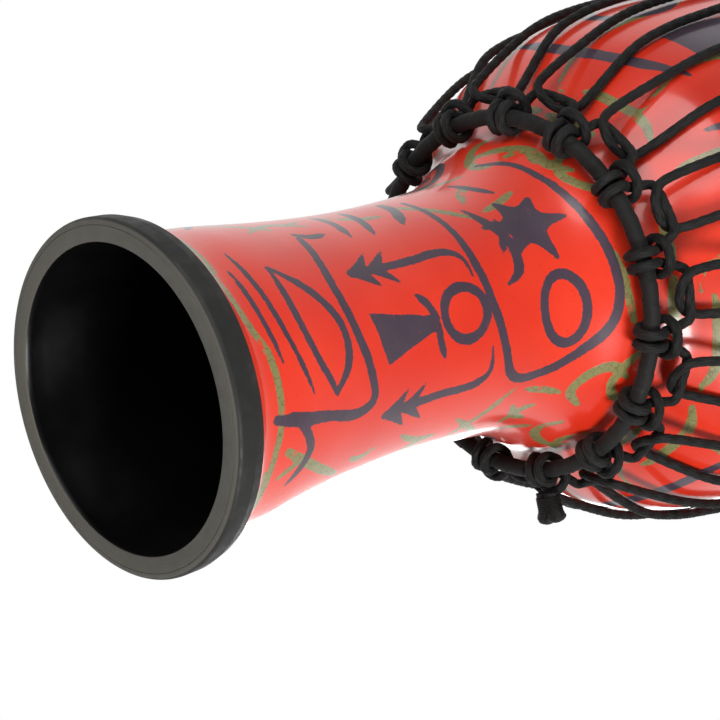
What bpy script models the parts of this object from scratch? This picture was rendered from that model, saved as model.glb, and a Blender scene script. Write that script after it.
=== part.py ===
"""Rope-tuned djembe with a moulded shell, standing on its foot.

Frame: metres, +Z up along the drum's axis, origin at the centre of the foot's bottom plane.
The front of the drum, where one of the lower hitches sits, faces -Y.
"""

import math

import bpy
from mathutils import Vector

# ---------------------------------------------------------------- driving dimensions (metres)
TOTAL_HEIGHT = 0.610
FOOT_RADIUS = 0.0866
WALL = 0.0052
GAP = 0.0003

# Outer outline of the moulded shell, foot to head: (height, radius).
SHELL_OUTLINE = (
    (0.0190, 0.0813),
    (0.0205, 0.0790),
    (0.0260, 0.0760),
    (0.0560, 0.0731),
    (0.1040, 0.0681),
    (0.1470, 0.0656),
    (0.1820, 0.0658),
    (0.2080, 0.0671),
    (0.2250, 0.0690),
    (0.2382, 0.0725),
    (0.2511, 0.0774),
    (0.2641, 0.0839),
    (0.2780, 0.0903),
    (0.2945, 0.1030),
    (0.3118, 0.1212),
    (0.3290, 0.1347),
    (0.3550, 0.1442),
    (0.3900, 0.1500),
    (0.4500, 0.1537),
    (0.5200, 0.1540),
    (0.5700, 0.1522),
    (0.6020, 0.1506),
)
SHELL_FOOT_HEIGHT = 0.0043
SHELL_FOOT_INNER_TOP = 0.0120
SHELL_TOP = 0.6085

# Rubber boot round the foot.
BOOT_HEIGHT = 0.0171
BOOT_INNER_RADIUS = 0.0749
BOOT_CHAMFER = 0.0006
BOOT_EDGE = 0.0028
BOOT_TOP_INSET = 0.0032

# Rings: steel core inside a wrapped sleeve that is slit along its inner side.
CORE_TUBE_RADIUS = 0.0036
WRAP_TUBE_RADIUS = 0.0047
LOWER_RING_RADIUS = 0.0990
LOWER_RING_HEIGHT = 0.2706
CROWN_RING_RADIUS = 0.1665
CROWN_RING_HEIGHT = 0.5840

# Head.
SKIN = 0.0009
COLLAR_INNER_RADIUS = 0.1536
HEAD_EDGE = 0.0022
HOOP_TUBE_RADIUS = 0.0030
HOOP_HEIGHT = 0.5690

# Ropes and their hitches.
ROPE_RADIUS = 0.00255
HITCHES = 15
FRONT = math.radians(-90.0)
PITCH = math.tau / HITCHES
LEG_ANGLE = PITCH / 4.0
# Top bar of each arch: (radius, height, lean of the strands that pull on it).
LOWER_ARCH = (0.1116, 0.2869, math.radians(35.0))
CROWN_ARCH = (0.1682, 0.5540, math.radians(20.0))
ROPE_CLEARANCE = 0.0012

# The bound ends of the loop ropes as (radius, length), and the tension rope's knot.
LOWER_STUB = (0.0072, 0.0200)
LOWER_STUB_STANDOFF = 0.0008
STUB_HITCH = 4
CROWN_STUB = (0.0050, 0.0180)
CROWN_STUB_OUT = 0.0125
CROWN_STUB_DROP = 0.0095
CROWN_STUB_HITCH = 6
KNOT_RADIUS = 0.0070
KNOT_STANDOFF = 0.0010
BACK_HITCH = 7
KNOT_AZIMUTH = FRONT + (BACK_HITCH + 1) * PITCH
KNOT_SEAT = (CROWN_ARCH[0] + 0.0104, CROWN_ARCH[1] + 0.0015)  # (radius, height), outside the crown arch

# Mesh fineness.
TURN_STEPS = 36
ROPE_BEVEL_RESOLUTION = 1

# Colours as (red, green, blue), with roughness and metallic.
FINISHES = {
    "red_lacquer": ((0.78, 0.035, 0.015), 0.22, 0.0),
    "black_rubber": ((0.035, 0.035, 0.033), 0.62, 0.0),
    "dark_rope": ((0.022, 0.022, 0.021), 0.80, 0.0),
    "ring_wrap": ((0.026, 0.026, 0.025), 0.78, 0.0),
    "steel": ((0.45, 0.45, 0.46), 0.35, 1.0),
    "head_film": ((0.70, 0.66, 0.56), 0.45, 0.0),
}


# ---------------------------------------------------------------- scene helpers
def clear_scene():
    for item in list(bpy.data.objects):
        bpy.data.objects.remove(item, do_unlink=True)


def make_material(name):
    colour, roughness, metallic = FINISHES[name]
    material = bpy.data.materials.new(name)
    material.use_nodes = True
    shader = material.node_tree.nodes["Principled BSDF"]
    shader.inputs["Base Color"].default_value = (*colour, 1.0)
    shader.inputs["Roughness"].default_value = roughness
    shader.inputs["Metallic"].default_value = metallic
    return material


def link(name, data, material, parent):
    item = bpy.data.objects.new(name, data)
    item.data.materials.append(material)
    item.parent = parent
    bpy.context.scene.collection.objects.link(item)
    return item


# ---------------------------------------------------------------- outlines in the (radius, height) plane
def arc(centre, radius, start_degrees, end_degrees, steps):
    """Points (radius, height) on an arc round a centre, measured from the outward direction."""
    points = []
    for step in range(steps + 1):
        angle = math.radians(start_degrees + (end_degrees - start_degrees) * step / steps)
        points.append((centre[0] + radius * math.cos(angle), centre[1] + radius * math.sin(angle)))
    return points


def offset_inward(outline, distance):
    """The outline (radius, height) moved towards the axis, along its normal."""
    moved = []
    for index, (radius, height) in enumerate(outline):
        before = outline[max(index - 1, 0)]
        after = outline[min(index + 1, len(outline) - 1)]
        tangent = Vector((after[0] - before[0], after[1] - before[1])).normalized()
        moved.append((radius - tangent.y * distance, height + tangent.x * distance))
    return moved


def shell_radius(height):
    """Outer radius of the shell at a height, straight between the outline's points."""
    for (low, low_radius), (high, high_radius) in zip(SHELL_OUTLINE, SHELL_OUTLINE[1:]):
        if height <= high:
            share = (height - low) / (high - low)
            return low_radius + (high_radius - low_radius) * share
    return SHELL_OUTLINE[-1][1]


# ---------------------------------------------------------------- solids
def turned(name, outline, material, parent):
    """A closed outline of (radius, height) points, anticlockwise, turned round the axis.

    A point with radius 0 becomes a single vertex on the axis.
    """
    vertices = []
    rows = []
    for radius, height in outline:
        if radius == 0.0:
            rows.append([len(vertices)] * TURN_STEPS)
            vertices.append((0.0, 0.0, height))
            continue
        rows.append(list(range(len(vertices), len(vertices) + TURN_STEPS)))
        for step in range(TURN_STEPS):
            angle = FRONT + math.tau * step / TURN_STEPS
            vertices.append((radius * math.cos(angle), radius * math.sin(angle), height))
    faces = []
    for here, above in zip(rows, rows[1:] + rows[:1]):
        for step in range(TURN_STEPS):
            after = (step + 1) % TURN_STEPS
            corners = [here[step], here[after], above[after], above[step]]
            face = [corner for index, corner in enumerate(corners) if corner not in corners[:index]]
            if len(face) >= 3:
                faces.append(face)
    mesh = bpy.data.meshes.new(name)
    mesh.from_pydata(vertices, [], faces)
    mesh.shade_smooth()
    mesh.set_sharp_from_angle(angle=math.radians(35.0))
    return link(name, mesh, material, parent)


def rope(name, points, radius, material, parent, closed):
    """A tube along the points, with capped ends unless it is closed on itself."""
    curve = bpy.data.curves.new(name, "CURVE")
    curve.dimensions = "3D"
    curve.bevel_depth = radius
    curve.bevel_resolution = ROPE_BEVEL_RESOLUTION
    curve.render_resolution_u = 0
    curve.use_fill_caps = True
    spline = curve.splines.new("POLY")
    spline.points.add(len(points) - 1)
    for point, position in zip(spline.points, points):
        point.co = (*position, 1.0)
    spline.use_cyclic_u = closed
    spline.use_smooth = True
    return link(name, curve, material, parent)


def around(radius, height, azimuth):
    return Vector((radius * math.cos(azimuth), radius * math.sin(azimuth), height))


# ---------------------------------------------------------------- shell, boot and head
def build_shell(material, parent):
    body = [(radius, height) for height, radius in SHELL_OUTLINE]
    inside = offset_inward(body, WALL)
    foot_inner = BOOT_INNER_RADIUS + GAP
    outline = [(body[0][0], SHELL_FOOT_HEIGHT), *body]
    outline += arc((body[-1][0] - 0.5 * WALL, SHELL_TOP - 0.5 * WALL), 0.5 * WALL, 30, 150, 4)
    outline += list(reversed(inside[1:]))
    outline += [(foot_inner, SHELL_FOOT_INNER_TOP), (foot_inner, SHELL_FOOT_HEIGHT)]
    return turned("shell", outline, material, parent)


def build_foot_ring(material, parent):
    """An L-shaped ring: a plate under the shell's foot and a band round its outside."""
    shell_outer = SHELL_OUTLINE[0][1] + GAP
    seat = SHELL_FOOT_HEIGHT - GAP
    outline = [
        (BOOT_INNER_RADIUS + BOOT_CHAMFER, 0.0),
        (FOOT_RADIUS - BOOT_EDGE, 0.0),
        *arc((FOOT_RADIUS - BOOT_EDGE, BOOT_EDGE), BOOT_EDGE, -65, 0, 3),
        (FOOT_RADIUS - 0.12 * BOOT_TOP_INSET, 0.6 * BOOT_HEIGHT),
        (FOOT_RADIUS - 0.62 * BOOT_TOP_INSET, 0.93 * BOOT_HEIGHT),
        (FOOT_RADIUS - BOOT_TOP_INSET, BOOT_HEIGHT),
        (shell_outer, BOOT_HEIGHT),
        (shell_outer, seat),
        (BOOT_INNER_RADIUS, seat),
        (BOOT_INNER_RADIUS, BOOT_CHAMFER),
    ]
    return turned("foot_ring", outline, material, parent)


def hoop_centre():
    return (COLLAR_INNER_RADIUS + SKIN + GAP + HOOP_TUBE_RADIUS, HOOP_HEIGHT)


def build_drumhead(material, parent):
    """Flat head, rounded over the bearing edge, a straight collar, and a fold round the flesh hoop."""
    underside = SHELL_TOP + GAP
    centre = hoop_centre()
    inner_fold = HOOP_TUBE_RADIUS + GAP
    outer_fold = inner_fold + SKIN
    corner = COLLAR_INNER_RADIUS - HEAD_EDGE
    outline = [
        (0.0, underside),
        (corner, underside),
        (COLLAR_INNER_RADIUS, underside - HEAD_EDGE),
        *arc(centre, outer_fold, 180, 380, 6),
        *reversed(arc(centre, inner_fold, 180, 380, 6)),
        (COLLAR_INNER_RADIUS + SKIN, underside - 0.5 * HEAD_EDGE),
        (corner, TOTAL_HEIGHT),
        (0.0, TOTAL_HEIGHT),
    ]
    return turned("drumhead", outline, material, parent)


def build_core(name, centre, radius, material, parent):
    return turned(name, arc(centre, radius, 0, 300, 5), material, parent)


def build_wrap(name, centre, material, parent):
    """A sleeve round the ring's core, slit along the side that faces the drum's axis."""
    inner = CORE_TUBE_RADIUS + GAP
    outline = arc(centre, WRAP_TUBE_RADIUS, -165, 165, 6)
    outline += list(reversed(arc(centre, inner, -165, 165, 6)))
    return turned(name, outline, material, parent)


# ---------------------------------------------------------------- loop ropes
# One half of a cow hitch: (distance along the ring and lift off it in rope diameters, and the angle
# round the ring's tube in degrees, 0 facing outward and 90 towards the arches).
HALF_HITCH = (
    (0.64, 0.10, 62.0),
    (0.64, 0.00, 0.0),
    (0.64, 0.00, -60.0),
    (0.66, 0.00, -120.0),
    (0.90, 0.00, -180.0),
    (1.35, 0.00, -240.0),
    (1.85, 0.20, -294.0),
    (0.95, 1.14, -336.0),
)
ARCH_CORNER = 0.92  # of a leg's angle from the hitch to the end of the arch's bar
COIL_REACH = (WRAP_TUBE_RADIUS + ROPE_RADIUS + GAP) / math.cos(math.radians(30.0))


def hitch_points(ring_radius, ring_height, flip, azimuth, side):
    """Half a hitch on one side of its azimuth, from the leg to the bridge over the two legs."""
    points = []
    for along, lift, degrees in HALF_HITCH:
        reach = COIL_REACH + lift * 2.0 * ROPE_RADIUS
        turn = math.radians(degrees)
        radius = ring_radius + reach * math.cos(turn)
        height = ring_height + flip * reach * math.sin(turn)
        place = azimuth + side * along * 2.0 * ROPE_RADIUS / ring_radius
        points.append(around(radius, height, place))
    return points


def loop_rope_points(ring_radius, ring_height, arch, flip, first):
    """A closed rope: hitch, arch, hitch, arch, all the way round one ring."""
    points = []
    for index in range(HITCHES):
        azimuth = first + index * PITCH
        points += hitch_points(ring_radius, ring_height, flip, azimuth, -1.0)
        points += reversed(hitch_points(ring_radius, ring_height, flip, azimuth, 1.0))
        points.append(around(*arch[:2], azimuth + ARCH_CORNER * LEG_ANGLE))
        points.append(around(*arch[:2], azimuth + PITCH - ARCH_CORNER * LEG_ANGLE))
    return points


# ---------------------------------------------------------------- tension rope
def shell_slope(height):
    """How fast the shell's radius grows with height."""
    reach = 0.004
    return (shell_radius(height + reach) - shell_radius(height - reach)) / (2.0 * reach)


def taut_route(start, end):
    """The shortest way past the bulging bowl from start to end, as (radius, height) points."""
    reach = ROPE_RADIUS + ROPE_CLEARANCE
    samples = 60
    points = [start]
    for step in range(1, samples):
        height = start[1] + (end[1] - start[1]) * step / samples
        slope = shell_slope(height)
        points.append((shell_radius(height) + reach * math.hypot(1.0, slope), height))
    points.append(end)
    hull = []
    for point in points:
        while len(hull) >= 2:
            (r0, z0), (r1, z1) = hull[-2], hull[-1]
            if (r1 - r0) * (point[1] - z0) > (point[0] - r0) * (z1 - z0):
                break
            hull.pop()
        hull.append(point)
    return hull


def radius_on(route, height):
    for (low_radius, low), (high_radius, high) in zip(route, route[1:]):
        if height <= high:
            return low_radius + (high_radius - low_radius) * (height - low) / (high - low)
    return route[-1][0]


STRAND_BAND = (0.32, 0.53)
STRAND_HEIGHTS = tuple(height for height, _ in SHELL_OUTLINE if STRAND_BAND[0] < height < STRAND_BAND[1])
PASS = 2.0 * ROPE_RADIUS + 3.0 * GAP


def beside(arch, out, up):
    """(radius, height) of a point beside an arch: out from the drum and up along the leaning strands."""
    radius, height, lean = arch
    return (
        radius + out * math.cos(lean) + up * math.sin(lean),
        height - out * math.sin(lean) + up * math.cos(lean),
    )


def turn_under(arch, flip, azimuth):
    """The rope's U-turn through one arch, in front of it on the first leg and behind on the second."""
    steps = (
        (1.00, 0.00, 1.05),
        (0.75, -0.80, 1.45),
        (0.00, -1.15, 2.00),
        (-0.75, -0.80, 2.55),
        (-1.00, 0.00, 2.95),
    )
    return [
        around(*beside(arch, out * PASS, flip * up * PASS), azimuth + legs * LEG_ANGLE)
        for out, up, legs in steps
    ]


def knot_centre():
    return around(*KNOT_SEAT, KNOT_AZIMUTH)


def rope_end(strand_point, side):
    """The end of a strand just off the knot, on the given side of its underside."""
    centre = knot_centre()
    sideways = Vector((-math.sin(KNOT_AZIMUTH), math.cos(KNOT_AZIMUTH), 0.0)) * side
    spread = 0.42
    direction = ((strand_point - centre).normalized() + sideways * spread).normalized()
    return centre + direction * (KNOT_RADIUS + KNOT_STANDOFF)


def towards_knot(azimuth, side, height):
    """Azimuth of an end strand, which slants evenly from its lower arch to its side of the knot."""
    top = azimuth - side * (LEG_ANGLE - 1.25 * ROPE_RADIUS / KNOT_SEAT[0])
    share = (height - LOWER_ARCH[1]) / (KNOT_SEAT[1] - LOWER_ARCH[1])
    return azimuth + (top - azimuth) * share


def tension_rope_points():
    """Down in front of a lower arch, up behind it, over a crown arch, and so on round the drum."""
    front, back = beside(LOWER_ARCH, PASS, 0.0), beside(LOWER_ARCH, -PASS, 0.0)
    fronts_down = taut_route(front, beside(CROWN_ARCH, -PASS, 0.0))
    backs_up = taut_route(back, beside(CROWN_ARCH, PASS, 0.0))
    first_down = taut_route(front, KNOT_SEAT)
    last_up = taut_route(back, KNOT_SEAT)
    points = []
    for step in range(HITCHES):
        azimuth = KNOT_AZIMUTH + step * PITCH
        down, up = azimuth + LEG_ANGLE, azimuth + 3.0 * LEG_ANGLE
        for height in reversed(STRAND_HEIGHTS):
            if step == 0:
                place = towards_knot(down, 1.0, height)
                points.append(around(radius_on(first_down, height), height, place))
            else:
                points.append(around(radius_on(fronts_down, height), height, down))
        points += turn_under(LOWER_ARCH, 1.0, azimuth)
        for height in STRAND_HEIGHTS:
            if step == HITCHES - 1:
                place = towards_knot(up, -1.0, height)
                points.append(around(radius_on(last_up, height), height, place))
            else:
                points.append(around(radius_on(backs_up, height), height, up))
        if step < HITCHES - 1:
            points += turn_under(CROWN_ARCH, -1.0, azimuth + 2.0 * LEG_ANGLE)
    return [rope_end(points[0], 1.0), *points, rope_end(points[-1], -1.0)]


# ---------------------------------------------------------------- knots and cut ends
def build_tension_knot(material, parent):
    """The tight knot that joins the two ends of the tension rope: a ball with a groove round it."""
    rows = 8
    sides = 10
    groove_depth = 0.12
    vertices = [(0.0, 0.0, -KNOT_RADIUS)]
    for row in range(1, rows):
        tilt = math.pi * row / rows
        groove = 1.0 - groove_depth * math.exp(-((row - rows / 2) ** 2))
        reach = KNOT_RADIUS * math.sin(tilt) * groove
        for side in range(sides):
            turn = math.tau * side / sides
            vertices.append((reach * math.cos(turn), reach * math.sin(turn), -KNOT_RADIUS * math.cos(tilt)))
    top = len(vertices)
    vertices.append((0.0, 0.0, KNOT_RADIUS))
    faces = []
    for side in range(sides):
        after = (side + 1) % sides
        faces.append((0, 1 + after, 1 + side))
        faces.append((top, top - sides + side, top - sides + after))
        for row in range(rows - 2):
            base = 1 + row * sides
            faces.append((base + side, base + after, base + sides + after, base + sides + side))
    mesh = bpy.data.meshes.new("tension_rope_knot")
    mesh.from_pydata(vertices, [], faces)
    mesh.shade_smooth()
    link("tension_rope_knot", mesh, material, parent).location = knot_centre()


def build_lower_stub(material, parent):
    """The thick bound end of the lower loop rope, standing straight out from the lower ring."""
    azimuth = FRONT + STUB_HITCH * PITCH
    start = LOWER_RING_RADIUS + COIL_REACH + 4.0 * ROPE_RADIUS + LOWER_STUB_STANDOFF
    ends = [around(start + length, LOWER_RING_HEIGHT, azimuth) for length in (0.0, LOWER_STUB[1])]
    rope("lower_loop_knot", ends, LOWER_STUB[0], material, parent, closed=False)


def build_crown_stub(material, parent):
    """The bound end of the crown loop rope, hanging down in front of one crown hitch."""
    azimuth = FRONT + (CROWN_STUB_HITCH + 0.5) * PITCH
    radius = CROWN_RING_RADIUS + CROWN_STUB_OUT
    top = CROWN_RING_HEIGHT - CROWN_STUB_DROP
    ends = [around(radius, top - length, azimuth) for length in (0.0, CROWN_STUB[1])]
    rope("crown_loop_knot", ends, CROWN_STUB[0], material, parent, closed=False)


# ---------------------------------------------------------------- the drum
def build():
    clear_scene()
    finishes = {name: make_material(name) for name in FINISHES}
    drum = bpy.data.objects.new("djembe", None)
    bpy.context.scene.collection.objects.link(drum)

    build_shell(finishes["red_lacquer"], drum)
    build_foot_ring(finishes["black_rubber"], drum)
    build_drumhead(finishes["head_film"], drum)
    build_core("flesh_hoop", hoop_centre(), HOOP_TUBE_RADIUS, finishes["steel"], drum)

    lower = (LOWER_RING_RADIUS, LOWER_RING_HEIGHT)
    crown = (CROWN_RING_RADIUS, CROWN_RING_HEIGHT)
    build_core("lower_ring_core", lower, CORE_TUBE_RADIUS, finishes["steel"], drum)
    build_wrap("lower_ring_wrap", lower, finishes["ring_wrap"], drum)
    build_core("crown_ring_core", crown, CORE_TUBE_RADIUS, finishes["steel"], drum)
    build_wrap("crown_ring_wrap", crown, finishes["ring_wrap"], drum)

    dark = finishes["dark_rope"]
    lower_loop = loop_rope_points(*lower, LOWER_ARCH, 1.0, FRONT)
    crown_loop = loop_rope_points(*crown, CROWN_ARCH, -1.0, FRONT + 0.5 * PITCH)
    rope("lower_loop_rope", lower_loop, ROPE_RADIUS, dark, drum, closed=True)
    rope("crown_loop_rope", crown_loop, ROPE_RADIUS, dark, drum, closed=True)
    rope("tension_rope", tension_rope_points(), ROPE_RADIUS, dark, drum, closed=False)

    build_tension_knot(dark, drum)
    build_lower_stub(dark, drum)
    build_crown_stub(dark, drum)


build()
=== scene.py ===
"""Looks of the rope-tuned djembe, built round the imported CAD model.

Metres, +Z up along the drum's axis, origin at the centre of the foot's bottom plane, front at -Y.
The dimensions in the first block are those of the CAD source.
"""

import math

import bpy
import numpy as np
from mathutils import Matrix, Vector


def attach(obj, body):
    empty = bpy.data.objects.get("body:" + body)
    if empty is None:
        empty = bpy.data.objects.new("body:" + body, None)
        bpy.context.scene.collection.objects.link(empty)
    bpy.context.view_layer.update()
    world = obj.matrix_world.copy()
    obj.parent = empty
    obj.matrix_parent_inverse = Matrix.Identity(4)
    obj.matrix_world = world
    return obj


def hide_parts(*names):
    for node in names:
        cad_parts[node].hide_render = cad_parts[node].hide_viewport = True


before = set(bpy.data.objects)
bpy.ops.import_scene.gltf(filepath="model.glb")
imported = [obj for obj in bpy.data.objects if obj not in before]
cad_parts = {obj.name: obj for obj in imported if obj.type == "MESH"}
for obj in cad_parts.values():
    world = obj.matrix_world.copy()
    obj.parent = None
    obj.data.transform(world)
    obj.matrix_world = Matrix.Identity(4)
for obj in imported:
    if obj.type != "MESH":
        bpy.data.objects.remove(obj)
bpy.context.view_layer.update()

MM = 0.001

# -------- sizes and places of the CAD (metres)
TOTAL_HEIGHT = 0.610
FOOT_RADIUS = 0.0866
WALL = 0.0052
GAP = 0.0003
SHELL_OUTLINE = (  # (height, radius)
    (0.0190, 0.0813), (0.0205, 0.0790), (0.0260, 0.0760), (0.0560, 0.0731), (0.1040, 0.0681),
    (0.1470, 0.0656), (0.1820, 0.0658), (0.2080, 0.0671), (0.2250, 0.0690), (0.2382, 0.0725),
    (0.2511, 0.0774), (0.2641, 0.0839), (0.2780, 0.0903), (0.2945, 0.1030), (0.3118, 0.1212),
    (0.3290, 0.1347), (0.3550, 0.1442), (0.3900, 0.1500), (0.4500, 0.1537), (0.5200, 0.1540),
    (0.5700, 0.1522), (0.6020, 0.1506),
)
SHELL_FOOT_HEIGHT = 0.0043
SHELL_FOOT_INNER_TOP = 0.0120
SHELL_TOP = 0.6085
BOOT_HEIGHT = 0.0171
BOOT_INNER_RADIUS = 0.0749
BOOT_CHAMFER = 0.0006
BOOT_EDGE = 0.0028
BOOT_TOP_INSET = 0.0032
WRAP_TUBE_RADIUS = 0.0047
LOWER_RING = (0.0990, 0.2706)  # (radius, height)
CROWN_RING = (0.1665, 0.5840)
SKIN = 0.0009
COLLAR_INNER_RADIUS = 0.1536
HOOP_TUBE_RADIUS = 0.0030
HOOP_HEIGHT = 0.5690
ROPE_RADIUS = 0.00255
HITCHES = 15
FRONT = math.radians(-90.0)
PITCH = math.tau / HITCHES
LEG_ANGLE = PITCH / 4.0
LOWER_ARCH = (0.1116, 0.2869, math.radians(35.0))  # (radius, height, lean of its strands)
CROWN_ARCH = (0.1682, 0.5540, math.radians(20.0))
ROPE_CLEARANCE = 0.0012
STUB_HITCH = 4
CROWN_STUB_HITCH = 6
BACK_HITCH = 7
KNOT_AZIMUTH = FRONT + (BACK_HITCH + 1) * PITCH
KNOT_SEAT = (CROWN_ARCH[0] + 0.0104, CROWN_ARCH[1] + 0.0015)  # outside the crown arch
KNOT_RADIUS = 0.0070
PASS = 2.0 * ROPE_RADIUS + 3.0 * GAP
STRAND_BAND = (0.32, 0.53)  # heights between which a strand has points of its own
COIL_REACH = WRAP_TUBE_RADIUS + ROPE_RADIUS + GAP

# -------- sizes of the looks (metres)
GROOVE_INSET, GROOVE_WIDTH, GROOVE_DEPTH = 0.0009, 0.0005, 0.0003  # on the boot's flat face
CLOTH_THICKNESS = 0.00045
HEAD_EDGE = 0.0030
HEAD_CENTRE = 0.0030  # radius of the small disc in the middle
WRINKLE_BAND = (0.5660, TOTAL_HEIGHT - 0.0060)
WRINKLE_HEIGHT = 0.00016
SHELL_LINE = [(radius, height) for height, radius in SHELL_OUTLINE]
STUB = (0.0182, 0.0152)  # (length, width) of a bound end
STUB_START = LOWER_RING[0] + COIL_REACH + 2.2 * ROPE_RADIUS
CROWN_STUB = (0.0205, 0.0094)
CROWN_STUB_START = (CROWN_RING[0] + 0.0122, CROWN_RING[1] - 0.0060)
BINDING_RELIEF = 0.0004
BRAID_STRANDS = 5
BRAID_REPEAT = 0.0062
BRAID_HEIGHT = 0.13  # as a share of the rope's radius
KNOT_SWELL = 0.0006
END_SPREAD = 0.42  # how far apart the two rope ends enter the knot, as a slope
END_DEPTH = 0.6  # where they end, as a share of the knot's radius

# -------- camera, at the photograph's angle
CAMERA_PLACE = Vector((0.0, -0.77703, -0.53347))
CAMERA_ROLL = math.radians(74.83)
CAMERA_YAW = math.radians(-6.847)
CAMERA_PITCH = math.radians(1.175)
CAMERA_LENS = 100.65
DIM_SIDE = 0.19  # the surround's strength behind the photographer
BRIGHT_SIDE = 1.1  # and beyond the drum
SURROUND_TURN = (-0.25, 0.75)  # cosines between which it changes
AIM_HEIGHT = 0.25  # what the lights point at
LIGHTS = (  # (name, place, size, power)
    ("key", (-1.25, -1.20, -0.50), 1.6, 20.0),
    ("side", (1.25, -1.20, -0.38), 0.7, 28.0),
    ("low", (-0.25, -0.55, -1.35), 0.6, 3.5),
    ("top", (0.4, 1.3, 1.9), 1.4, 18.0),
)
FLOOR_REACH = 30.0
FLOOR_DROP = 0.0006
FLOOR_FADE = (1.0, 9.0)  # distances between which the floor turns white

# -------- mesh fineness
SHELL_COLUMNS = 288
STEM_STEP = 0.0016
BOWL_STEP = 0.0032
BOWL_FROM = 0.300
ROPE_STEP = 0.00135
ROPE_SIDES = 12
CURVE_SAMPLES = 16  # points between two guide points, before a curve is resampled
FILLET_STEPS = 6
BOOT_COLUMNS = 256
HEAD_COLUMNS = 270
ROUTE_SAMPLES = 60
SHARP_EDGE = math.radians(50.0)


# -------- curves
def unit(vector):
    return vector / np.linalg.norm(vector)


def around(radius, height, azimuth):
    return np.array((radius * math.cos(azimuth), radius * math.sin(azimuth), height))


def sideways(azimuth):
    """The direction along the drum's surface, level and towards larger azimuths."""
    return np.array((-math.sin(azimuth), math.cos(azimuth), 0.0))


def smooth(points, step, closed=False):
    """A rounded curve through the points (centripetal Catmull-Rom), resampled about every step."""
    points = np.asarray(points, float)
    if closed:
        guide = np.vstack([points[-1:], points, points[:2]])
    else:
        guide = np.vstack([2 * points[:1] - points[1:2], points, 2 * points[-1:] - points[-2:-1]])
    share = np.linspace(0.0, 1.0, CURVE_SAMPLES, endpoint=False)[:, None]
    stretches = []
    for p0, p1, p2, p3 in zip(guide, guide[1:], guide[2:], guide[3:]):
        k1, k2, k3 = (math.sqrt(np.linalg.norm(b - a)) for a, b in ((p0, p1), (p1, p2), (p2, p3)))
        start = (p2 - p1) + k2 * ((p1 - p0) / k1 - (p2 - p0) / (k1 + k2))
        end = (p2 - p1) + k2 * ((p3 - p2) / k3 - (p3 - p1) / (k2 + k3))
        square, cube = share**2, share**3
        stretches.append(
            (2 * cube - 3 * square + 1) * p1
            + (cube - 2 * square + share) * start
            + (3 * square - 2 * cube) * p2
            + (cube - square) * end
        )
    line = np.vstack([*stretches, points[:1] if closed else points[-1:]])
    return evenly(line, step, closed)


def run_along(line):
    """How far along the line each of its points is."""
    return np.concatenate([[0.0], np.cumsum(np.linalg.norm(np.diff(line, axis=0), axis=1))])


def evenly(line, step, closed=False):
    """The same polyline with its points about a step apart."""
    travelled = run_along(line)
    count = max(2, round(travelled[-1] / step))
    wanted = np.linspace(0.0, travelled[-1], count, endpoint=not closed)
    return np.stack([np.interp(wanted, travelled, column) for column in line.T], 1)


def filleted(corners):
    """Points of a closed outline whose corners (radius, height, fillet radius) are rounded."""
    points = []
    spots = [np.array(corner[:2], float) for corner in corners]
    for index, corner in enumerate(corners):
        here = spots[index]
        if corner[2] == 0.0:
            points.append(here)
            continue
        back, on = unit(spots[index - 1] - here), unit(spots[(index + 1) % len(spots)] - here)
        half = 0.5 * math.acos(max(-1.0, min(1.0, float(back @ on))))
        reach = corner[2] / math.tan(half)
        middle = here + unit(back + on) * corner[2] / math.sin(half)
        first, last = here + back * reach - middle, here + on * reach - middle
        turn = math.atan2(first[0] * last[1] - first[1] * last[0], float(first @ last))
        for step in range(FILLET_STEPS + 1):
            angle = turn * step / FILLET_STEPS
            cosine, sine = math.cos(angle), math.sin(angle)
            points.append(middle + np.array([[cosine, -sine], [sine, cosine]]) @ first)
    return np.array(points)


# -------- mesh parts: (vertices, faces, lay)
def net(rows, columns, rows_close):
    """Quads over a grid of vertices whose columns run round and close."""
    row = np.arange(rows if rows_close else rows - 1)[:, None]
    column = np.arange(columns)[None, :]
    after = (column + 1) % columns
    above = (row + 1) % rows
    low, high = row * columns, above * columns
    return np.stack([low + column, low + after, high + after, high + column], -1).reshape(-1, 4)


def turned(outline, columns, bend=None):
    """A closed (radius, height) outline turned round the axis. bend, where given, moves its points."""
    angle = FRONT + math.tau * np.arange(columns)[None, :] / columns
    radius = np.repeat(outline[:, :1], columns, 1)
    height = np.repeat(outline[:, 1:2], columns, 1)
    if bend:
        radius, height = bend(angle, radius, height)
    vertices = np.stack([radius * np.cos(angle), radius * np.sin(angle), height], -1).reshape(-1, 3)
    return vertices, net(len(outline), columns, True).tolist(), None


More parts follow.
